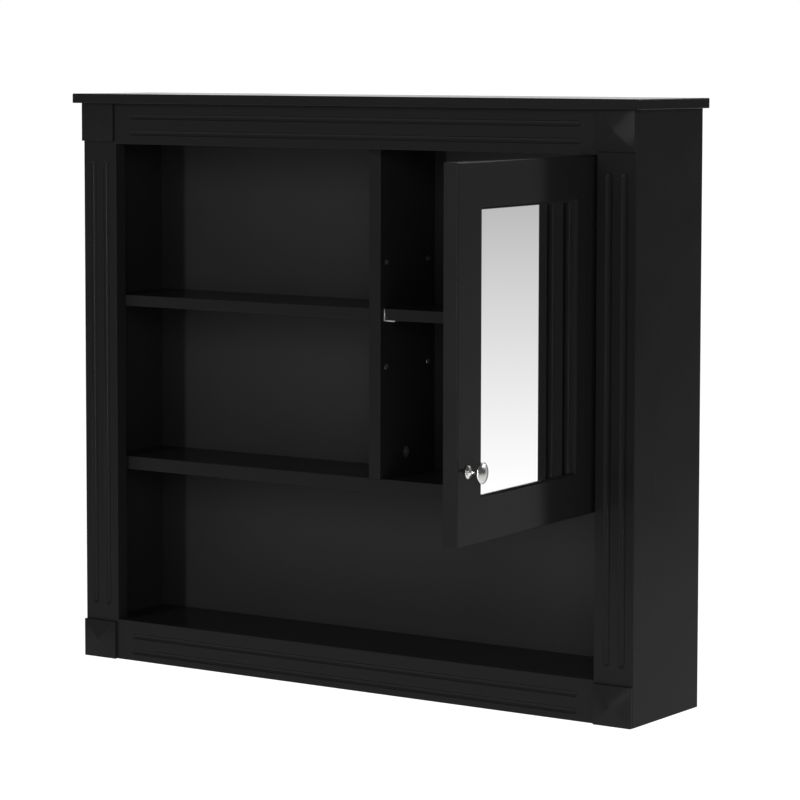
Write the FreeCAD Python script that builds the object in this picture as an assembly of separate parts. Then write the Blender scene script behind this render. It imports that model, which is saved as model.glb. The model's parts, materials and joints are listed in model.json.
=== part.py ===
import FreeCAD, Part
import math
import os

# Wall medicine cabinet: an open face-frame cabinet with one mirror door.
# Millimetres. X runs along the wall, Y into the wall, Z up. The model is drawn with
# Z = 0 at the underside of the sides and is moved at the end, so that the origin lies
# midway between the two wall screws, on the wall.

# ---- driving dimensions -------------------------------------------------------------
BODY_W = 870.0            # over the side panels
BODY_H = 762.0            # side panels, underside to top board
FRAME_D = 165.0           # wall to the front of the face frame
TOP_W, TOP_D, TOP_T = 889.0, 178.0, 13.0
SIDE_T = 18.0
FRAME_T = 19.0            # face frame and door
STILE_W = 56.0
RAIL_H = 55.0
FLOOR_TOP = 52.0
SHELF_T = 15.0            # floor, left shelf and adjustable shelf
LONG_SHELF_Z, LONG_SHELF_T = 260.0, 18.0
SHELF_Z = 485.5           # underside of the left and the adjustable shelf
SETBACK = 1.0             # left shelf and divider stop this far behind the frame's back
SWING_SETBACK = 5.5       # boards that the door's rear corner swings past stop further back
BACK_FACE_Y, BACK_T = -18.0, 3.0
BACK_GROOVE = 6.0
HANG_T = 15.0             # hanging rail behind the back panel
HANG_Z0 = 690.0
DIVIDER_X0, DIVIDER_T = 25.5, 18.0

SCREW_Z = 732.0           # wall screws, above the underside
SCREW_PITCH = 406.4       # 16 inch studs
SCREW_R = 2.75

FLUTE_W, FLUTE_DEPTH = 10.0, 3.0
FLUTE_INSETS = (16.5, 38.5)          # from the stile's outer edge
FLUTE_Z0, FLUTE_Z1 = 73.6, 684.2
REED_W, REED_DEPTH = 7.5, 2.5        # the two long grooves in each rail
REED_END_X = 355.5
TOP_REEDS = (722.5, 744.2)
BOTTOM_REEDS = (12.5, 34.0)
BLOCK_W, BLOCK_H, BLOCK_T, BLOCK_PEAK = 54.0, 51.5, 4.7, 5.0

PEG_ROWS = (424.3, 492.5, 560.5)
PEG_COLUMNS = (-131.0, -34.0)
PEG_R, PEG_DEPTH = 2.5, 10.0
SLEEVE_R, SLEEVE_RIM_R, SLEEVE_RIM_T = 3.0, 3.6, 0.6   # plated sleeves in the peg holes
SHELF_END_GAP = 5.0

DOOR_W, DOOR_H = 350.5, 443.5         # hides the divider's edge, and most of the long shelf's
DOOR_Z0 = 262.0
DOOR_GAP = 3.0            # between the door's hinge edge and the stile
DOOR_STILE, DOOR_RAIL = 58.5, 55.5
LIP_T = 4.0               # front lip that holds the mirror
LIP_BEVEL, LIP_BEVEL_DEPTH = 3.0, 2.5
REBATE = 7.0
MIRROR_T, BACKING_T = 3.0, 3.0
BEAD_W, BEAD_T = 7.0, 8.0
DOOR_ARRIS = 1.5
KNOB_IN, KNOB_UP = 25.0, 86.5        # from the door's free edge and lower edge

HINGE_ZS = {"lower": 349.5, "upper": 620.5}
PIN_IN, PIN_BACK = 14.5, 6.8         # pin axis, inboard of the stile and behind the face
PIN_R, PIN_LEN, PIN_CLEAR = 1.25, 20.0, 0.05
CUP_R, CUP_OFFSET = 17.5, 11.0       # cup centre is this far inboard of the pin
OPEN_AT_REST = 93.6                  # degrees from closed

CAM_R, CAM_DEPTH, CAM_IN = 7.5, 12.5, 30.5
DOWEL_R, DOWEL_GAP = 4.0, 0.1

# ---- derived places -----------------------------------------------------------------
BODY_X = BODY_W / 2
INNER_X = BODY_X - SIDE_T
STILE_X = BODY_X - STILE_W
FRONT_Y = -FRAME_D
CARCASS_Y = FRONT_Y + FRAME_T
SHELF_Y = CARCASS_Y + SETBACK
SWING_Y = CARCASS_Y + SWING_SETBACK
DIVIDER_X1 = DIVIDER_X0 + DIVIDER_T
LONG_SHELF_TOP = LONG_SHELF_Z + LONG_SHELF_T
MID_Y = -85.0             # cam locks
DOWEL_YS = (-113.0, -57.0)
DOOR_X1 = STILE_X - DOOR_GAP
DOOR_X0 = DOOR_X1 - DOOR_W
DOOR_Z1 = DOOR_Z0 + DOOR_H
PIN_X = STILE_X - PIN_IN
PIN_Y = FRONT_Y + PIN_BACK
CUP_X = PIN_X - CUP_OFFSET

V = FreeCAD.Vector
X, Y, Z = V(1, 0, 0), V(0, 1, 0), V(0, 0, 1)
nodes = {}
door_nodes = []


# ---- small helpers ------------------------------------------------------------------
def box(x0, x1, y0, y1, z0, z1):
    return Part.makeBox(x1 - x0, y1 - y0, z1 - z0, V(x0, y0, z0))


def rod(radius, start, along, length):
    return Part.makeCylinder(radius, length, start, along)


def ease(shape, radius, wanted):
    """Round the straight edges whose middle satisfies wanted(point)."""
    edges = [e for e in shape.Edges if wanted(e.CenterOfMass)]
    return shape.makeFillet(radius, edges)


def front_eased(board, radius=0.8):
    """Take the sharpness off every edge of a board's front face."""
    front = board.BoundBox.YMin
    return ease(board, radius, lambda p: abs(p.y - front) < 0.01)


def groove(start, end, width, depth, face_y):
    """Round-bottomed groove with rounded ends, cut into a face that looks along -Y."""
    radius = (width * width / 4 + depth * depth) / (2 * depth)
    along = (end - start).normalize()
    a = start + along * (width / 2)
    b = end - along * (width / 2)
    a.y = b.y = face_y - (radius - depth)
    tool = rod(radius, a, along, (b - a).Length)
    return tool.fuse([Part.makeSphere(radius, a), Part.makeSphere(radius, b)])


def mirrored(shape):
    return shape.mirror(V(0, 0, 0), X)


# ---- knock-down joinery: cam locks, their bolts, and dowels ---------------------------
cams, cam_bolts, dowels = [], [], []
cuts = {}


def cut_later(node, tool):
    cuts.setdefault(node, []).append(tool)


def cam_joint(panel, host, end, along, face, to_face, host_depth=11.0):
    """A bolt screwed into host, drawn tight by a cam sunk in the panel's face.

    end is where the bolt crosses the panel's end, along runs into the panel, and face
    is the normal of the side that the cam is sunk into, to_face away from the bolt."""
    centre = end + along * CAM_IN
    mouth = centre + face * to_face
    cut_later(panel, rod(CAM_R, mouth, face * -1, CAM_DEPTH))
    cut_later(panel, rod(4.0, end, along, CAM_IN))
    cut_later(host, rod(2.5, end - along * host_depth, along, host_depth))

    bolt = rod(2.4, end - along * (host_depth - 0.5), along, host_depth - 0.5)
    bolt = bolt.fuse([rod(3.4, end, along, CAM_IN - 8.0), rod(2.0, end, along, CAM_IN - 3.0)])
    bolt = bolt.fuse(rod(3.4, end + along * (CAM_IN - 4.0), along, 3.0))
    cam_bolts.append(bolt.removeSplitter())

    cam = rod(CAM_R - 0.1, mouth - face * 0.2, face * -1, CAM_DEPTH - 0.7)
    cam = cam.cut(rod(3.9, centre - along * CAM_R, along, CAM_R + 2.0))
    side = along.cross(face)
    for arm in (along, side):
        slot = Part.makeBox(7.0, 1.2, 2.0)
        slot.translate(V(-3.5, -0.6, -2.0))
        slot.Placement = FreeCAD.Placement(mouth, FreeCAD.Rotation(arm, face.cross(arm), face, "XZY")
                                           ).multiply(slot.Placement)
        cam = cam.cut(slot)
    cams.append(cam)


def dowel_joint(panel, host, end, along, panel_depth=20.0, host_depth=9.0):
    start = end - along * host_depth
    cut_later(host, rod(DOWEL_R, start, along, host_depth))
    cut_later(panel, rod(DOWEL_R, end, along, panel_depth))
    length = panel_depth + host_depth - 1.0
    dowels.append(rod(DOWEL_R - DOWEL_GAP, start + along * 0.5, along, length))


def board_joint(panel, host, x, z, along, face, to_face, host_depth=11.0):
    """One cam in the middle and a dowel each side of it."""
    cam_joint(panel, host, V(x, MID_Y, z), along, face, to_face, host_depth)
    for y in DOWEL_YS:
        dowel_joint(panel, host, V(x, y, z), along, host_depth=min(9.0, host_depth))


# ---- carcass ------------------------------------------------------------------------
def make_carcass():
    top = box(-TOP_W / 2, TOP_W / 2, -TOP_D, 0, BODY_H, BODY_H + TOP_T)
    nodes["top_board"] = ease(top, 1.2, lambda p: p.y < -TOP_D + 0.01 or
                              (abs(abs(p.x) - TOP_W / 2) < 0.01 and p.y < -0.01))

    side = box(INNER_X, BODY_X, CARCASS_Y, 0, 0, BODY_H)
    side = side.cut(box(INNER_X, INNER_X + BACK_GROOVE + 0.2, BACK_FACE_Y - 0.1,
                        BACK_FACE_Y + BACK_T + 0.1, 0, BODY_H))
    nodes["right_side_panel"] = side
    nodes["left_side_panel"] = mirrored(side)

    nodes["floor_panel"] = box(-INNER_X, INNER_X, CARCASS_Y, BACK_FACE_Y,
                               FLOOR_TOP - SHELF_T, FLOOR_TOP)
    nodes["back_panel"] = box(-INNER_X - BACK_GROOVE, INNER_X + BACK_GROOVE, BACK_FACE_Y,
                              BACK_FACE_Y + BACK_T, FLOOR_TOP - SHELF_T, BODY_H)
    nodes["hanging_rail"] = box(-INNER_X, INNER_X, -HANG_T, 0, HANG_Z0, BODY_H)

    nodes["divider"] = front_eased(box(DIVIDER_X0, DIVIDER_X1, SHELF_Y, BACK_FACE_Y,
                                       LONG_SHELF_TOP, BODY_H))
    nodes["long_shelf"] = front_eased(box(-INNER_X, INNER_X, SWING_Y, BACK_FACE_Y,
                                          LONG_SHELF_Z, LONG_SHELF_TOP))
    nodes["left_shelf"] = front_eased(box(-INNER_X, DIVIDER_X0, SHELF_Y, BACK_FACE_Y,
                                          SHELF_Z, SHELF_Z + SHELF_T))
    nodes["adjustable_shelf"] = front_eased(
        box(DIVIDER_X1 + SHELF_END_GAP, INNER_X - SHELF_END_GAP, SWING_Y + 1.0,
            BACK_FACE_Y - 3.0, SHELF_Z, SHELF_Z + SHELF_T))


def make_carcass_joints():
    half_divider = DIVIDER_T / 2
    divider_x = DIVIDER_X0 + half_divider
    board_joint("divider", "long_shelf", divider_x, LONG_SHELF_TOP, Z, X, half_divider)
    board_joint("divider", "top_board", divider_x, BODY_H, Z * -1, X, half_divider, 8.0)
    shelf_mid = SHELF_Z + SHELF_T / 2
    board_joint("left_shelf", "divider", DIVIDER_X0, shelf_mid, X * -1, Z * -1, SHELF_T / 2)
    board_joint("left_shelf", "left_side_panel", -INNER_X, shelf_mid, X, Z * -1, SHELF_T / 2)
    for sign, side in ((1, "right_side_panel"), (-1, "left_side_panel")):
        x = sign * (BODY_X - SIDE_T / 2)
        inward = X * -sign
        board_joint(side, "top_board", x, BODY_H, Z * -1, inward, SIDE_T / 2, 8.0)
        board_joint("long_shelf", side, sign * INNER_X, LONG_SHELF_Z + LONG_SHELF_T / 2,
                    inward, Z * -1, LONG_SHELF_T / 2)
        board_joint("floor_panel", side, sign * INNER_X, FLOOR_TOP - SHELF_T / 2,
                    inward, Z * -1, SHELF_T / 2)
        for z in (708.0, 748.0):
            dowel_joint("hanging_rail", side, V(sign * INNER_X, -HANG_T / 2, z), inward)


def make_back_nails():
    """Panel pins through the back panel into the rear edges of the boards."""
    shelf_mid = SHELF_Z + SHELF_T / 2
    spots = [("floor_panel", x, FLOOR_TOP - SHELF_T / 2) for x in (-390, -130, 130, 390)]
    spots += [("long_shelf", x, LONG_SHELF_Z + LONG_SHELF_T / 2) for x in (-390, -130, 130, 390)]
    spots += [("left_shelf", x, shelf_mid) for x in (-390, -190, 0)]
    spots += [("divider", DIVIDER_X0 + DIVIDER_T / 2, z) for z in (380, 600)]
    nails = []
    for board, x, z in spots:
        rear = V(x, BACK_FACE_Y + BACK_T, z)
        hole = rod(0.8, rear, Y * -1, 16.0)
        cut_later("back_panel", hole)
        cut_later(board, hole)
        shank = rod(0.75, rear, Y * -1, 15.5)
        nails.append(shank.fuse(rod(1.6, rear, Y, 0.6)).removeSplitter())
    nodes["back_panel_nails"] = Part.makeCompound(nails)


def drill_pegs_and_wall_screws():
    for row in PEG_ROWS:
        for y in PEG_COLUMNS:
            cut_later("divider", rod(SLEEVE_R, V(DIVIDER_X1, y, row), X * -1, PEG_DEPTH))
            cut_later("right_side_panel", rod(SLEEVE_R, V(INNER_X, y, row), X, PEG_DEPTH))
    for sign in (-1, 1):
        hole = rod(SCREW_R, V(sign * SCREW_PITCH / 2, 1, SCREW_Z), Y * -1, 40)
        cut_later("hanging_rail", hole)
        cut_later("back_panel", hole)


def make_peg_sleeves():
    """Plated sleeves with a thin rim, pressed into every peg hole."""
    sleeves = []
    for wall_x, out in ((DIVIDER_X1, X), (INNER_X, X * -1)):
        for row in PEG_ROWS:
            for y in PEG_COLUMNS:
                mouth = V(wall_x, y, row)
                tube = rod(SLEEVE_R - 0.05, mouth, out * -1, PEG_DEPTH - 0.3)
                rim = rod(SLEEVE_RIM_R, mouth, out, SLEEVE_RIM_T)
                bore = rod(PEG_R, mouth + out, out * -1, PEG_DEPTH + 1.0)
                sleeves.append(tube.fuse(rim).removeSplitter().cut(bore))
    nodes["shelf_peg_sleeves"] = Part.makeCompound(sleeves)


def make_shelf_supports():
    """Bent steel supports: a leg with a peg in the board, and a ledge under the shelf."""
    wide, thick, ledge = 14.0, 1.5, 17.0
    supports = []
    for wall_x, inward in ((DIVIDER_X1, 1), (INNER_X, -1)):
        for y in PEG_COLUMNS:
            leg = box(0, thick, -wide / 2, wide / 2, SHELF_Z - thick, SHELF_Z + SHELF_T - 1.0)
            foot = box(0, ledge, -wide / 2, wide / 2, SHELF_Z - thick, SHELF_Z)
            peg = rod(PEG_R - 0.1, V(0.5, 0, PEG_ROWS[1]), X * -1, PEG_DEPTH)
            piece = leg.fuse([foot, peg]).removeSplitter()
            if inward < 0:
                piece = mirrored(piece)
            piece.translate(V(wall_x + inward * SLEEVE_RIM_T, y, 0))
            supports.append(piece)
    nodes["shelf_supports"] = Part.makeCompound(supports)


# ---- face frame ---------------------------------------------------------------------
def make_face_frame():
    stile = front_eased(box(STILE_X, BODY_X, FRONT_Y, CARCASS_Y, 0, BODY_H), 1.0)
    for inset in FLUTE_INSETS:
        x = BODY_X - inset
        stile = stile.cut(groove(V(x, 0, FLUTE_Z0), V(x, 0, FLUTE_Z1),
                                 FLUTE_W, FLUTE_DEPTH, FRONT_Y))
    nodes["right_stile"] = stile
    nodes["left_stile"] = mirrored(stile)

    for name, z0, reeds in (("top_rail", BODY_H - RAIL_H, TOP_REEDS),
                            ("bottom_rail", 0.0, BOTTOM_REEDS)):
        rail = box(-STILE_X, STILE_X, FRONT_Y, CARCASS_Y, z0, z0 + RAIL_H)
        rail = ease(rail, 0.8, lambda p: p.y < FRONT_Y + 0.01 and abs(p.x) < 1)
        for z in reeds:
            rail = rail.cut(groove(V(-REED_END_X, 0, z), V(REED_END_X, 0, z),
                                   REED_W, REED_DEPTH, FRONT_Y))
        nodes[name] = rail

    for sign, side in ((1, "right"), (-1, "left")):
        panel = side + "_side_panel"
        stile_name = side + "_stile"
        for z in (100.0, 381.0, 662.0):
            dowel_joint(panel, stile_name, V(sign * (BODY_X - SIDE_T / 2), CARCASS_Y, z), Y)
        for rail_name, z0 in (("top_rail", BODY_H - RAIL_H), ("bottom_rail", 0.0)):
            for up in (15.0, 40.0):
                end = V(sign * STILE_X, CARCASS_Y - FRAME_T / 2, z0 + up)
                dowel_joint(rail_name, stile_name, end, X * -sign)


def corner_block():
    """Square block with a low four-sided point, drawn for the right-hand lower corner."""
    x0 = BODY_X - BLOCK_W
    slab = box(x0, BODY_X, FRONT_Y - BLOCK_T, FRONT_Y, 0, BLOCK_H)
    flat = 0.3            # half-width of the tip
    mid_x, mid_z = BLOCK_W / 2, BLOCK_H / 2
    point = Part.makeWedge(0, 0, 0, mid_z - flat, mid_x - flat,
                           BLOCK_W, BLOCK_PEAK, BLOCK_H, mid_z + flat, mid_x + flat)
    point.rotate(V(0, 0, 0), Z, 180)
    point.translate(V(BODY_X, FRONT_Y - BLOCK_T, 0))
    return slab.fuse(point).removeSplitter()


def make_corner_blocks():
    lower = corner_block()
    upper = lower.copy()
    upper.translate(V(0, 0, BODY_H - BLOCK_H))
    nodes["corner_block_lower_right"] = lower
    nodes["corner_block_upper_right"] = upper
    nodes["corner_block_lower_left"] = mirrored(lower)
    nodes["corner_block_upper_left"] = mirrored(upper)


# ---- hinges -------------------------------------------------------------------------
ARM_T = 2.0
HOOK_IN = 17.2            # clears the door's rear corner, 16.8 from the pin
HOOK_HALF_W = 3.9
LEG_HALF_H = 20.0
LEG_END = 60.0            # behind the pin
EYE_R = 2.6
ARM_SCREW_BACK, ARM_SCREW_UP = 38.0, 13.0


def hinge_arm(z):
    """Gooseneck from the pin, round the door's rear corner, to the block's inner face."""
    h = 2 * HOOK_HALF_W
    base = V(PIN_X, PIN_Y, z - HOOK_HALF_W)
    hook_out = HOOK_IN + ARM_T
    bend = Part.makeCylinder(hook_out, h, base, Z, 90).cut(Part.makeCylinder(HOOK_IN, h, base, Z))
    bend.rotate(base, Z, 90)
    leg_x0, leg_x1 = STILE_X - ARM_T, STILE_X
    z0, z1 = z - HOOK_HALF_W, z + HOOK_HALF_W
    neck = box(PIN_X - hook_out, PIN_X, PIN_Y - 1.8, PIN_Y + 0.2, z0, z1)
    reach = box(PIN_X - 0.5, leg_x1, PIN_Y + HOOK_IN, PIN_Y + hook_out, z0, z1)
    leg = box(leg_x0, leg_x1, PIN_Y + HOOK_IN, PIN_Y + LEG_END, z - LEG_HALF_H, z + LEG_HALF_H)
    arm = Part.makeCylinder(EYE_R, h, base, Z).fuse([neck, bend, reach, leg]).removeSplitter()
    arm = arm.cut(Part.makeCylinder(PIN_R + PIN_CLEAR, h, base, Z))
    for up in (-ARM_SCREW_UP, ARM_SCREW_UP):
        arm = arm.cut(rod(2.0, V(leg_x0 - 1, PIN_Y + ARM_SCREW_BACK, z + up), X, 4.0))
    return arm


CUP_FLOOR = 2.9           # cavity floor, in front of the pin
CUP_WALL = 0.6
CUP_HALF_SLOT = 4.6
CUP_SLOT_IN, CUP_SLOT_OUT = 20.0, 3.2   # slot for the arm, either side of the pin
FLANGE_T, FLANGE_HALF_H = 1.0, 28.0
CUP_SCREW_IN, CUP_SCREW_UP = 9.5, 22.5


def hinge_cup(z):
    front = PIN_Y - CUP_FLOOR - CUP_WALL
    cup = rod(CUP_R, V(CUP_X, front, z), Y, CARCASS_Y + FLANGE_T - front)
    flange = box(CUP_X - CUP_R, CUP_X + 8.0, CARCASS_Y, CARCASS_Y + FLANGE_T,
                 z - FLANGE_HALF_H, z + FLANGE_HALF_H)
    cup = cup.fuse(flange).removeSplitter()
    cup = cup.cut(box(PIN_X - CUP_SLOT_IN, PIN_X + CUP_SLOT_OUT, PIN_Y - CUP_FLOOR, CARCASS_Y + 5,
                      z - CUP_HALF_SLOT, z + CUP_HALF_SLOT))
    cup = cup.cut(rod(PIN_R + PIN_CLEAR, V(PIN_X, PIN_Y, z - PIN_LEN / 2 - 0.1), Z, PIN_LEN + 0.2))
    for up in (-CUP_SCREW_UP, CUP_SCREW_UP):
        cup = cup.cut(rod(1.9, V(CUP_X - CUP_SCREW_IN, CARCASS_Y - 1, z + up), Y, 4.0))
    return cup


def wood_screw(head_seat, inward, shank_r, length, head_r=3.3, head_t=1.5):
    """Pan-head screw: inward points from the head along the shank."""
    shank = rod(shank_r, head_seat, inward, length - 2.0)
    tip = Part.makeCone(shank_r, 0.3, 2.0, head_seat + inward * (length - 2.0), inward)
    head = rod(head_r, head_seat, inward * -1, head_t)
    return head.fuse([shank, tip]).removeSplitter()


def make_hinges():
    arm_screws, cup_screws = [], []
    for side, z in HINGE_ZS.items():
        block = box(STILE_X, INNER_X, CARCASS_Y, CARCASS_Y + 62.0, z - 50.0, z + 50.0)
        for up in (-ARM_SCREW_UP, ARM_SCREW_UP):
            seat = V(STILE_X - ARM_T, PIN_Y + ARM_SCREW_BACK, z + up)
            block = block.cut(rod(1.7, seat, X, 18.5))
            arm_screws.append(wood_screw(seat, X, 1.65, 18.0))
        nodes[side + "_hinge_block"] = block
        nodes[side + "_hinge_arm"] = hinge_arm(z)

        nodes[side + "_hinge_cup"] = hinge_cup(z)
        pin_foot = V(PIN_X, PIN_Y, z - PIN_LEN / 2)
        nodes[side + "_hinge_pin"] = rod(PIN_R, pin_foot, Z, PIN_LEN)
        door_nodes.extend([side + "_hinge_cup", side + "_hinge_pin"])
        front = PIN_Y - CUP_FLOOR - CUP_WALL - 0.2
        cut_later("door_frame", rod(CUP_R + 0.15, V(CUP_X, front, z), Y, 40))
        for up in (-CUP_SCREW_UP, CUP_SCREW_UP):
            seat = V(CUP_X - CUP_SCREW_IN, CARCASS_Y + FLANGE_T, z + up)
            cut_later("door_frame", rod(1.65, seat, Y * -1, 13.5))
            cup_screws.append(wood_screw(seat, Y * -1, 1.6, 13.0, head_r=3.2))
    nodes["hinge_arm_screws"] = Part.makeCompound(arm_screws)
    nodes["hinge_cup_screws"] = Part.makeCompound(cup_screws)
    door_nodes.append("hinge_cup_screws")


# ---- door, drawn closed ---------------------------------------------------------------
SIGHT_X0, SIGHT_X1 = DOOR_X0 + DOOR_STILE, DOOR_X1 - DOOR_STILE
SIGHT_Z0, SIGHT_Z1 = DOOR_Z0 + DOOR_RAIL, DOOR_Z1 - DOOR_RAIL
POCKET_X0, POCKET_X1 = SIGHT_X0 - REBATE, SIGHT_X1 + REBATE
POCKET_Z0, POCKET_Z1 = SIGHT_Z0 - REBATE, SIGHT_Z1 + REBATE
GLASS_GAP = 0.8


def make_door_frame():
    """One routed board: lip with a bevelled edge in front, rebate for the glass behind."""
    board = box(DOOR_X0, DOOR_X1, FRONT_Y, CARCASS_Y, DOOR_Z0, DOOR_Z1)
    board = ease(board, DOOR_ARRIS, lambda p: p.y < FRONT_Y + 0.01)
    board = board.cut(box(SIGHT_X0, SIGHT_X1, FRONT_Y - 1, CARCASS_Y + 1, SIGHT_Z0, SIGHT_Z1))
    lip_y = FRONT_Y + LIP_T
    board = board.cut(box(POCKET_X0, POCKET_X1, lip_y, CARCASS_Y + 1, POCKET_Z0, POCKET_Z1))
    width, height = SIGHT_X1 - SIGHT_X0, SIGHT_Z1 - SIGHT_Z0
    bevel = Part.makeWedge(0, 0, 0, LIP_BEVEL, LIP_BEVEL,
                           width + 2 * LIP_BEVEL, LIP_BEVEL_DEPTH, height + 2 * LIP_BEVEL,
                           height + LIP_BEVEL, width + LIP_BEVEL)
    bevel.translate(V(SIGHT_X0 - LIP_BEVEL, FRONT_Y, SIGHT_Z0 - LIP_BEVEL))
    nodes["door_frame"] = board.cut(bevel)


def make_mirror():
    y = FRONT_Y + LIP_T
    x0, x1 = POCKET_X0 + GLASS_GAP, POCKET_X1 - GLASS_GAP
    z0, z1 = POCKET_Z0 + GLASS_GAP, POCKET_Z1 - GLASS_GAP
    nodes["mirror"] = box(x0, x1, y, y + MIRROR_T, z0, z1)
    y += MIRROR_T
    nodes["mirror_backing"] = box(x0, x1, y, y + BACKING_T, z0, z1)
    y += BACKING_T
    upright = box(POCKET_X0, POCKET_X0 + BEAD_W, y, y + BEAD_T, POCKET_Z0, POCKET_Z1)
    across = box(POCKET_X0 + BEAD_W, POCKET_X1 - BEAD_W, y, y + BEAD_T,
                 POCKET_Z0, POCKET_Z0 + BEAD_W)
    far_upright = upright.copy()
    far_upright.translate(V(POCKET_X1 - POCKET_X0 - BEAD_W, 0, 0))
    high_across = across.copy()
    high_across.translate(V(0, 0, POCKET_Z1 - POCKET_Z0 - BEAD_W))
    beads = [upright, far_upright, across, high_across]
    nodes["glazing_beads"] = Part.makeCompound([ease(b, 1.5, lambda p, y1=y + BEAD_T: p.y > y1 - 0.01)
                                                for b in beads])


KNOB_THREAD_R, KNOB_THREAD_DEPTH = 1.9, 14.0


def make_knob():
    """Turned knob: a flared foot, a thin neck and a mushroom head. (radius, reach)"""
    def at(radius, reach):
        return V(radius, -reach, 0)
    thread, deep = KNOB_THREAD_R, KNOB_THREAD_DEPTH
    edges = [
        Part.LineSegment(at(thread, 0), at(8.0, 0)),
        Part.LineSegment(at(8.0, 0), at(8.0, 1.4)),
        Part.Arc(at(8.0, 1.4), at(4.4, 3.3), at(3.2, 7.0)),
        Part.LineSegment(at(3.2, 7.0), at(3.2, 11.0)),
        Part.Arc(at(3.2, 11.0), at(5.8, 15.6), at(11.8, 17.6)),
        Part.Arc(at(11.8, 17.6), at(12.75, 18.9), at(12.0, 20.4)),
        Part.Arc(at(12.0, 20.4), at(6.6, 22.9), at(1.0, 23.5)),
        Part.LineSegment(at(1.0, 23.5), at(0, 23.5)),
        Part.LineSegment(at(0, 23.5), at(0, deep)),
        Part.LineSegment(at(0, deep), at(thread, deep)),
        Part.LineSegment(at(thread, deep), at(thread, 0)),
    ]
    outline = Part.Wire([e.toShape() for e in edges])
    knob = Part.Face(outline).revolve(V(0, 0, 0), Y, 360)
    knob = Part.Solid(knob) if knob.ShapeType != "Solid" else knob
    centre = V(DOOR_X0 + KNOB_IN, FRONT_Y, DOOR_Z0 + KNOB_UP)
    knob.translate(centre)
    nodes["knob"] = knob

    rear = V(centre.x, CARCASS_Y, centre.z)
    shank = rod(2.0, rear, Y * -1, FRAME_T)
    tip = rod(KNOB_THREAD_R - 0.05, rear, Y * -1, FRAME_T + KNOB_THREAD_DEPTH - 1.5)
    head = rod(4.2, rear, Y, 2.4)
    head = ease(head, 0.8, lambda p: p.y > CARCASS_Y + 2.3)
    screw = head.fuse([shank, tip]).removeSplitter()
    cross = box(-2.4, 2.4, 1.0, 3.0, -0.5, 0.5).fuse(box(-0.5, 0.5, 1.0, 3.0, -2.4, 2.4))
    cross.translate(rear)
    nodes["knob_screw"] = screw.cut(cross)
    cut_later("door_frame", rod(2.2, V(centre.x, FRONT_Y - 1, centre.z), Y, FRAME_T + 2))


def make_bumpers():
    """Soft dots on the door's back where it meets the divider."""
    x = (DOOR_X0 + DIVIDER_X1) / 2
    dots = []
    for z in (DOOR_Z0 + 30.0, DOOR_Z1 - 20.0):
        dots.append(rod(3.5, V(x + 0.3, CARCASS_Y, z), Y, 0.8))
    nodes["door_bumpers"] = Part.makeCompound(dots)


def make_door():
    make_door_frame()
    make_mirror()
    make_knob()
    make_bumpers()
    door_nodes.extend(["door_frame", "mirror", "mirror_backing", "glazing_beads", "knob",
                       "knob_screw", "door_bumpers"])


# ---- build ----------------------------------------------------------------------------
make_carcass()
make_face_frame()
make_corner_blocks()
make_carcass_joints()
make_back_nails()
drill_pegs_and_wall_screws()
make_peg_sleeves()
make_shelf_supports()
make_door()
make_hinges()
nodes["cam_locks"] = Part.makeCompound(cams)
nodes["cam_bolts"] = Part.makeCompound(cam_bolts)
nodes["wood_dowels"] = Part.makeCompound(dowels)

for name, tools in cuts.items():
    nodes[name] = nodes[name].cut(tools)

os.makedirs("parts", exist_ok=True)
for name, shape in nodes.items():
    if name in door_nodes:
        shape.rotate(V(PIN_X, PIN_Y, 0), Z, OPEN_AT_REST)
    shape.translate(V(0, 0, -SCREW_Z))
    shape.exportStep("parts/" + name + ".step")
    print(name, len(shape.Solids), "solid(s)", round(shape.Volume / 1000, 2), "cm3",
          "valid" if shape.isValid() else "NOT VALID")
print(len(nodes), "nodes")
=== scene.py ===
# %% [markdown]
# # A black wall cabinet with a mirror door
# The cabinet is already designed as exact boards, holes and hinge parts. Here those boards
# get the softened edges, the lacquer and the light that make them look like the real thing.

# %% Load the frame
import json
import math
import bmesh
import bpy
from mathutils import Matrix, Vector


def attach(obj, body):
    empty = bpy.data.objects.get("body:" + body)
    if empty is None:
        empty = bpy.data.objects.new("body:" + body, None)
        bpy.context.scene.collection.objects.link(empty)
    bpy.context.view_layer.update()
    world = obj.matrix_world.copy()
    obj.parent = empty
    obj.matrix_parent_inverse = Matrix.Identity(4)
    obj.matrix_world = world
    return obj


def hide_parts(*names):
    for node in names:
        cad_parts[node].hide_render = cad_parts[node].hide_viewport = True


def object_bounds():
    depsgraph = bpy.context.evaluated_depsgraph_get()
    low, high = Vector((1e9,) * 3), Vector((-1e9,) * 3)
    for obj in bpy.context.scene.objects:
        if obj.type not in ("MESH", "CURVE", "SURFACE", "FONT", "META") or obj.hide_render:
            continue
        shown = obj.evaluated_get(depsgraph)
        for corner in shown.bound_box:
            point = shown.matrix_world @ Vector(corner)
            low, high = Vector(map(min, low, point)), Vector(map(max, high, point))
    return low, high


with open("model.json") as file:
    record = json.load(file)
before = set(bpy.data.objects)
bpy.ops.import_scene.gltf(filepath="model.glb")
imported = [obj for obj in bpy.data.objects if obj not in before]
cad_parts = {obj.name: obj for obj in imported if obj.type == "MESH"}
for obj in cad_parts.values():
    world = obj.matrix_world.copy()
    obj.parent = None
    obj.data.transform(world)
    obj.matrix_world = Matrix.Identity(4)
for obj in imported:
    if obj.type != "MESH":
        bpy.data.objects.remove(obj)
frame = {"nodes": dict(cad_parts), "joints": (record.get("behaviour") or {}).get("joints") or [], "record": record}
cad_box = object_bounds()
scene = bpy.context.scene
MM = 0.001
print("CAD nodes:", len(frame["nodes"]))

# %% [markdown]
# ## The door's own position
# The door stands open at rest. It is far easier to measure and model a door that is shut,
# so the door's pieces are made in the closed position and then turned about the hinge pin.
# The hinge joint knows the pin's place and how far it is to the closed end of its travel.

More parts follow.
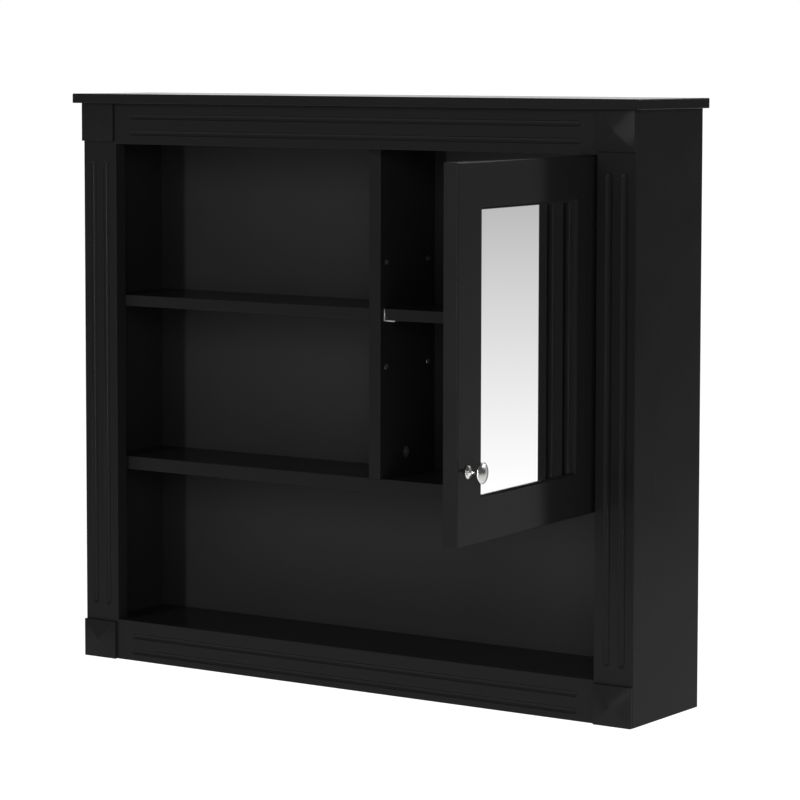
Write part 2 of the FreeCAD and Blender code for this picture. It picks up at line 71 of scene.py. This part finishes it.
# %% Turn between the closed and the open door
door_joint = frame["joints"][0]
pin = Vector(door_joint["pos_m"])
open_angle = math.radians(-door_joint["range_deg"][0])
swing = Matrix.Rotation(open_angle, 4, "Z")
OPEN = Matrix.Translation(pin) @ swing @ Matrix.Translation(-pin)
CLOSE = OPEN.inverted()


def closed_box(node):
    """Lowest and highest corner of a door node, with the door shut."""
    points = [CLOSE @ v.co for v in frame["nodes"][node].data.vertices]
    low = Vector([min(p[i] for p in points) for i in range(3)])
    high = Vector([max(p[i] for p in points) for i in range(3)])
    return low, high


print("door stands open by", round(math.degrees(open_angle), 1), "degrees")

# %% [markdown]
# ## Materials: colours and nodes
# Colours are written as the hex values that a paint chart would give. Blender's sockets
# want linear light, so one function converts them. A second one adds a node with its
# settings and its links, and every material below is made of calls to it.

# %% Colour and node helpers


def linear(hex_colour):
    """An sRGB hex colour as linear RGBA."""
    channels = [int(hex_colour[i:i + 2], 16) / 255 for i in (1, 3, 5)]
    return tuple(c / 12.92 if c <= 0.04045 else ((c + 0.055) / 1.055) ** 2.4
                 for c in channels) + (1.0,)


def add(tree, kind, links=None, **settings):
    """Add a node: settings are attributes or input values, links are (input, output)."""
    node = tree.nodes.new(kind)
    for key, value in settings.items():
        if hasattr(node, key):
            setattr(node, key, value)
        else:
            node.inputs[key.replace("_", " ")].default_value = value
    for socket, source in (links or {}).items():
        tree.links.new(source, node.inputs[socket])
    return node


def new_material(name):
    material = bpy.data.materials.new(name)
    material.use_nodes = True
    material.node_tree.nodes.clear()
    return material, material.node_tree


def finish_material(tree, shader):
    add(tree, "ShaderNodeOutputMaterial", {"Surface": shader.outputs[0]})


# %% [markdown]
# ## Satin black lacquer on MDF
# The boards are MDF, sprayed with a satin lacquer. MDF has no grain, so what the eye gets
# is a near-black with a soft, wide sheen. Sprayed lacquer always has a faint orange peel,
# a few millimetres from bump to bump, and the gloss drifts a little over a hand's width.
# Both are noises on Object coordinates, so they sit still in the board.

# %% Lacquer
PEEL_MM = 2.5
DRIFT_MM = 90.0


def noise_scale(size_mm):
    """Noise texture scale for features of that size, on coordinates in metres."""
    return 1.0 / (size_mm * MM)


def lacquer(name, colour, low_gloss, high_gloss, level, peel=0.05):
    material, tree = new_material(name)
    place = add(tree, "ShaderNodeTexCoord").outputs["Object"]
    drift = add(tree, "ShaderNodeTexNoise", {"Vector": place},
                Scale=noise_scale(DRIFT_MM), Detail=3.0)
    gloss = add(tree, "ShaderNodeMapRange", {"Value": drift.outputs["Fac"]},
                From_Min=0.3, From_Max=0.7, To_Min=low_gloss, To_Max=high_gloss)
    peel_noise = add(tree, "ShaderNodeTexNoise", {"Vector": place},
                     Scale=noise_scale(PEEL_MM), Detail=1.0)
    bump = add(tree, "ShaderNodeBump", {"Height": peel_noise.outputs["Fac"]},
               Strength=peel, Distance=0.05 * MM)
    shader = add(tree, "ShaderNodeBsdfPrincipled",
                 {"Roughness": gloss.outputs["Result"], "Normal": bump.outputs["Normal"]},
                 Base_Color=linear(colour), IOR=1.48, Specular_IOR_Level=level)
    finish_material(tree, shader)
    return material


satin_black = lacquer("satin_black_lacquer", "#131313", 0.15, 0.21, 0.042)
matt_black = lacquer("painted_hardboard", "#161616", 0.45, 0.55, 0.10, peel=0.15)
print("lacquer peel", PEEL_MM, "mm, drift", DRIFT_MM, "mm")

# %% [markdown]
# ## Mirror, nickel and steel
# A mirror is silver behind float glass: a metal that is almost perfectly smooth and as
# good as colourless. The knob is turned and brushed, so its fine scratches run round it
# and the highlight is soft. The hinge arms, supports and cams are plated and left as they
# come from the press, a little rougher.

# %% Metals


def metal(name, colour, roughness, grain_mm=0.0, spread=0.0):
    material, tree = new_material(name)
    links = {}
    if grain_mm:
        place = add(tree, "ShaderNodeTexCoord").outputs["Object"]
        grain = add(tree, "ShaderNodeTexNoise", {"Vector": place},
                    Scale=noise_scale(grain_mm), Detail=4.0)
        rough = add(tree, "ShaderNodeMapRange", {"Value": grain.outputs["Fac"]},
                    From_Min=0.3, From_Max=0.7,
                    To_Min=roughness - spread, To_Max=roughness + spread)
        links["Roughness"] = rough.outputs["Result"]
    shader = add(tree, "ShaderNodeBsdfPrincipled", links, Base_Color=linear(colour),
                 Metallic=1.0)
    if not grain_mm:
        shader.inputs["Roughness"].default_value = roughness
    finish_material(tree, shader)
    return material


mirror_silver = metal("silvered_float_glass", "#f6f6f6", 0.012)
brushed_nickel = metal("brushed_nickel", "#b2b2b0", 0.24, grain_mm=0.8, spread=0.06)
plated_steel = metal("nickel_plated_steel", "#c4c4c2", 0.30, grain_mm=1.2, spread=0.08)
print("metals:", mirror_silver.name, brushed_nickel.name, plated_steel.name)

# %% [markdown]
# ## Beech dowels and bumper dots
# The dowels that join the boards are plain beech, hidden once the cabinet is glued up.
# Beech shows short darker flecks along its grain, so its colour is two close tans mixed by
# a small noise. The bumpers are drops of soft clear plastic, so they reuse the lacquer's
# nodes with a pale colour and more gloss.

# %% Dowels and bumper dots


def beech(name):
    """Unfinished beech: pale, with short darker flecks along the grain."""
    material, tree = new_material(name)
    place = add(tree, "ShaderNodeTexCoord").outputs["Object"]
    flecks = add(tree, "ShaderNodeTexNoise", {"Vector": place}, Scale=noise_scale(1.5))
    tint = add(tree, "ShaderNodeMix", {"Factor": flecks.outputs["Fac"]}, data_type="RGBA")
    tint.inputs[6].default_value = linear("#d9bb92")
    tint.inputs[7].default_value = linear("#b98f63")
    shader = add(tree, "ShaderNodeBsdfPrincipled", {"Base Color": tint.outputs[2]}, Roughness=0.6)
    finish_material(tree, shader)
    return material


beech_wood = beech("beech_dowel_wood")
soft_clear = lacquer("clear_bumper", "#c8c8c6", 0.4, 0.5, 0.5)
print("small parts:", beech_wood.name, soft_clear.name)

# %% [markdown]
# ## From a design board to a finished board
# A real board never has a knife-sharp corner: the paint and a pass of sandpaper leave a
# radius of half a millimetre or more, and that radius is what catches the light. The
# design's triangles are copied, welded into one skin, joined into large flat faces, and
# every sharp edge is bevelled. Smooth shading alone would bend the light over the whole
# of a flat face, so the normals are weighted by area: the big faces stay flat.

# %% Finishing functions
SHARP = math.radians(32)


def show(name, bm, material, body, nodes):
    """Make the finished mesh an object that stands for those CAD nodes."""
    mesh = bpy.data.meshes.new(name)
    bm.to_mesh(mesh)
    bm.free()
    mesh.polygons.foreach_set("use_smooth", [True] * len(mesh.polygons))
    mesh.set_sharp_from_angle(angle=SHARP)
    mesh.materials.append(material)
    piece = bpy.data.objects.new(name, mesh)
    scene.collection.objects.link(piece)
    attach(piece, body)
    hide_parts(*nodes)
    return piece


def welded(node):
    """The node's triangles as one skin with its flat faces joined up."""
    bm = bmesh.new()
    bm.from_mesh(frame["nodes"][node].data)
    bmesh.ops.remove_doubles(bm, verts=bm.verts, dist=0.002 * MM)
    bmesh.ops.dissolve_limit(bm, angle_limit=math.radians(0.5), verts=bm.verts, edges=bm.edges)
    return bm


def soften(bm, radius_mm, segments=3):
    """Bevel every edge that is sharper than the smooth limit."""
    sharp = [e for e in bm.edges if e.is_manifold and e.calc_face_angle() > SHARP]
    bmesh.ops.bevel(bm, geom=sharp, offset=radius_mm * MM, offset_type="OFFSET",
                    affect="EDGES", segments=segments, profile=0.5, material=-1,
                    clamp_overlap=True)


bodies = {name: body for body, names in frame["record"]["behaviour"]["bodies"].items()
          for name in names}
slots = {s["node"]: s["material_slot"] for s in frame["record"]["subparts"]}


def finished_board(node, material, radius_mm, segments=3):
    bm = welded(node)
    soften(bm, radius_mm, segments)
    piece = show(node + "_finished", bm, material, bodies[node], [node])
    even = piece.modifiers.new("flat_faces_stay_flat", "WEIGHTED_NORMAL")
    even.keep_sharp = True
    return piece


# %% [markdown]
# ## The boards
# The boards that are handled and seen from close by, at the front, are sanded rounder than
# the ones inside. So the face frame and its corner blocks get half a millimetre, and the
# carcass, the shelves and the door a little less.

# %% Boards of the cabinet
FRONT_EDGE_MM, INNER_EDGE_MM = 0.5, 0.4
for node in ("top_board", "left_stile", "right_stile", "top_rail", "bottom_rail",
             "corner_block_lower_left", "corner_block_lower_right",
             "corner_block_upper_left", "corner_block_upper_right"):
    finished_board(node, satin_black, FRONT_EDGE_MM)
for node in ("left_side_panel", "right_side_panel", "divider", "left_shelf", "long_shelf",
             "adjustable_shelf", "floor_panel", "hanging_rail", "door_frame",
             "lower_hinge_block", "upper_hinge_block", "glazing_beads"):
    finished_board(node, satin_black, INNER_EDGE_MM)
print("edges rounded by", FRONT_EDGE_MM, "mm in front and", INNER_EDGE_MM, "mm inside")

# %% [markdown]
# ## Pieces that stay as designed
# Nails, dowels, pins and screws are small and mostly hidden, and their designed shape is
# already right. They only need a finish, which is looked up by the slot that the design
# gives each of them.

# %% Materials for the design nodes that stay
finishes = {
    "black_hardboard": matt_black, "nickel_plated_steel": plated_steel,
    "bright_steel_pin": plated_steel, "beech_dowel": beech_wood,
    "soft_bumper": soft_clear, "brushed_nickel": brushed_nickel,
    "black_lacquer": satin_black, "mirror_glass": mirror_silver,
}
for node, piece in frame["nodes"].items():
    piece.data.materials.clear()
    piece.data.materials.append(finishes[slots[node]])
print("finishes given to", len(frame["nodes"]), "nodes")

# %% [markdown]
# ## Pressed and plated hardware
# The hinge arms, hinge cups, shelf supports, cam locks and the sleeves in the peg holes are
# pressed or turned from steel and nickel plated. Pressing leaves a small radius on every
# edge, which is why a tiny piece of metal sparkles on a black board. They get the same
# weld-and-bevel treatment as the boards, with a smaller radius.

# %% Hardware
PRESSED_EDGE_MM = 0.15
ROUND_EDGE_MM = {"cam_locks": 0.4, "shelf_peg_sleeves": 0.25}
hardware = [name for name, slot in slots.items() if slot == "nickel_plated_steel"]
for node in hardware:
    finished_board(node, plated_steel, ROUND_EDGE_MM.get(node, PRESSED_EDGE_MM), segments=2)
finished_board("back_panel", matt_black, 0.2, segments=1)
finished_board("mirror", mirror_silver, 0.25, segments=2)
print("finished hardware:", ", ".join(sorted(hardware)))

# %% [markdown]
# ## The turned knob
# The knob is turned on a lathe, so it is made the same way here: half of its outline is
# drawn as a chain of points, (radius, reach from the door), and spun once round the axis.
# use_merge closes the seam, and the poles are welded afterwards. The outline is that of
# the design knob: a flared foot, a thin neck and a mushroom head. It is spun with the door
# shut, looking along -Y, and then turned open with the door.

# %% Knob
KNOB_OUTLINE_MM = (
    (1.9, 0.0), (8.0, 0.0), (8.0, 1.0), (7.7, 1.4), (6.0, 2.1), (4.6, 3.2), (3.7, 4.8),
    (3.2, 7.0), (3.2, 11.0), (3.7, 13.2), (4.9, 14.9), (6.8, 16.2), (9.2, 17.0),
    (11.5, 17.5), (12.4, 18.1), (12.7, 18.9), (12.6, 19.7), (11.9, 20.4), (9.9, 21.4),
    (7.0, 22.5), (4.0, 23.2), (1.0, 23.5), (0.0, 23.5))
KNOB_REACH_MM = KNOB_OUTLINE_MM[-1][1]
KNOB_STEPS = 72

low, high = closed_box("knob")
axis = Vector(((low.x + high.x) / 2, high.y, (low.z + high.z) / 2))
door_face = low.y + KNOB_REACH_MM * MM
bm = bmesh.new()
rim = [bm.verts.new((axis.x + radius * MM, door_face - reach * MM, axis.z))
       for radius, reach in KNOB_OUTLINE_MM]
chain = [bm.edges.new(pair) for pair in zip(rim, rim[1:])]
bmesh.ops.spin(bm, geom=rim + chain, cent=(axis.x, 0, axis.z), axis=(0, 1, 0),
               angle=math.tau, steps=KNOB_STEPS, use_merge=True)
bmesh.ops.remove_doubles(bm, verts=bm.verts, dist=0.01 * MM)
hole = [e for e in bm.edges if e.is_boundary]
bmesh.ops.contextual_create(bm, geom=hole)
bmesh.ops.recalc_face_normals(bm, faces=bm.faces)
bmesh.ops.transform(bm, matrix=OPEN, verts=bm.verts)
knob = show("turned_knob", bm, brushed_nickel, bodies["knob"], ["knob"])
print("knob", KNOB_REACH_MM, "mm deep,", len(knob.data.polygons), "faces")

# %% [markdown]
# ## The floor
# A wall cabinet has nothing under it, so the floor is a plain pale disc well below. It
# glows a little, which keeps it an even white without a hard shadow.

# %% Floor
low, high = cad_box
FLOOR_BELOW = 1.25
FLOOR_RADIUS = 10.0
bm = bmesh.new()
bmesh.ops.create_circle(bm, cap_ends=True, segments=96, radius=FLOOR_RADIUS)
bmesh.ops.translate(bm, verts=bm.verts, vec=(0, 0, low[2] - FLOOR_BELOW))
floor_mesh = bpy.data.meshes.new("floor")
bm.to_mesh(floor_mesh)
bm.free()
floor = bpy.data.objects.new("floor", floor_mesh)
scene.collection.objects.link(floor)
material, tree = new_material("pale_floor")
shader = add(tree, "ShaderNodeBsdfPrincipled", Base_Color=linear("#f4f4f2"), Roughness=0.8,
             Emission_Color=linear("#ffffff"), Emission_Strength=0.6)
finish_material(tree, shader)
floor_mesh.materials.append(material)
print("floor is", FLOOR_BELOW, "m below the cabinet")

# %% [markdown]
# ## A studio round the cabinet
# Black lacquer and a mirror show almost nothing but their surroundings. So the studio is
# white behind the cabinet, dim in front of it, and has a soft fade from light to dark on
# the right, where the mirror looks when the door is open. Further round, where the side
# panel looks, it is dim again, or the panel would turn grey. Each part is a Map Range of
# the direction, and Mix nodes choose between them.

# %% Surroundings
FRONT_LEVEL, BEHIND_LEVEL, FAR_RIGHT_LEVEL = 0.20, 1.05, 0.10
FADE_LOW_LEVEL, FADE_HIGH_LEVEL = 1.09, 0.545
world = bpy.data.worlds.new("studio")
scene.world = world
world.use_nodes = True
tree = world.node_tree
tree.nodes.clear()
direction = add(tree, "ShaderNodeTexCoord").outputs["Generated"]
parts = add(tree, "ShaderNodeSeparateXYZ", {"Vector": direction})
behind = add(tree, "ShaderNodeMapRange", {"Value": parts.outputs["Y"]},
             From_Min=-0.1, From_Max=0.35, To_Min=FRONT_LEVEL, To_Max=BEHIND_LEVEL)
height = add(tree, "ShaderNodeMapRange", {"Value": parts.outputs["Z"]},
             From_Min=-0.135, From_Max=-0.047,
             To_Min=FADE_LOW_LEVEL, To_Max=FADE_HIGH_LEVEL)
right = add(tree, "ShaderNodeMapRange", {"Value": parts.outputs["X"]},
            From_Min=0.1, From_Max=0.4, To_Min=0.0, To_Max=1.0)
level = add(tree, "ShaderNodeMix", {"Factor": right.outputs["Result"],
                                    "A": behind.outputs["Result"],
                                    "B": height.outputs["Result"]}, data_type="FLOAT")
far_right = add(tree, "ShaderNodeMapRange", {"Value": parts.outputs["X"]},
                From_Min=0.44, From_Max=0.50, To_Min=0.0, To_Max=1.0)
dimmed = add(tree, "ShaderNodeMix", {"Factor": far_right.outputs["Result"],
                                     "A": level.outputs[0]}, data_type="FLOAT")
dimmed.inputs["B"].default_value = FAR_RIGHT_LEVEL
background = add(tree, "ShaderNodeBackground", {"Strength": dimmed.outputs[0]},
                 Color=(1, 1, 1, 1))
add(tree, "ShaderNodeOutputWorld", {"Surface": background.outputs[0]})
print("surroundings", FRONT_LEVEL, "in front,", BEHIND_LEVEL, "behind")

# %% [markdown]
# ## Soft boxes
# Area lights do the rest. A broad key in front fills the open bays, a fill from
# the right reaches the inner sides, and a tall narrow one straight ahead draws the thin
# bright lines on the rounded edges, the grooves and the corner blocks. Two more narrow
# ones, behind and far right, pick out the bevelled lip round the mirror. The broad lights
# are left out of the reflections, or the top board would flash white from behind.

# %% Lights
centre = (Vector(low) + Vector(high)) / 2


def softbox(name, place, size, power, in_gloss=True):
    light = bpy.data.lights.new(name, "AREA")
    light.shape = "RECTANGLE"
    light.size, light.size_y = size
    light.energy = power
    lamp = bpy.data.objects.new(name, light)
    lamp.location = place
    lamp.rotation_euler = (centre - Vector(place)).to_track_quat("-Z", "Y").to_euler()
    lamp.visible_glossy = in_gloss
    scene.collection.objects.link(lamp)
    print(name, "light,", power, "W")


softbox("key", (-0.5, -4.2, 1.3), (1.6, 1.6), 38, in_gloss=False)
softbox("fill", (2.6, -3.4, 0.6), (1.2, 1.8), 110, in_gloss=False)
softbox("strip", (-0.45, -3.6, 0.3), (0.16, 2.6), 80)
softbox("rear strip", (2.5, 3.4, 1.0), (1.6, 0.3), 40)
softbox("edge strip", (3.0, -1.45, -0.35), (0.12, 1.6), 16)

# %% [markdown]
# ## The camera
# A long lens from well to the right keeps the boards' edges nearly parallel. Pitch is how
# far the lens looks down, and the small shift moves the cabinet up in the picture without
# tilting its upright lines.

# %% Camera
CAMERA_AT = (2.3878, -3.5493, 0.0939)
YAW, PITCH, ROLL = 34.2, 4.7, 0.1
LENS_MM = 144.2
camera_data = bpy.data.cameras.new("camera")
camera_data.lens = LENS_MM
camera_data.sensor_width = 36.0
camera_data.shift_y = -0.10
camera_data.clip_end = 200.0
camera = bpy.data.objects.new("camera", camera_data)
camera.location = CAMERA_AT
camera.rotation_euler = (Matrix.Rotation(math.radians(YAW), 3, "Z")
                         @ Matrix.Rotation(math.radians(90 - PITCH), 3, "X")
                         @ Matrix.Rotation(math.radians(ROLL), 3, "Z")).to_euler()
scene.collection.objects.link(camera)
scene.camera = camera
scene.view_settings.view_transform = "Standard"
print("camera yaw", YAW, "pitch", PITCH)
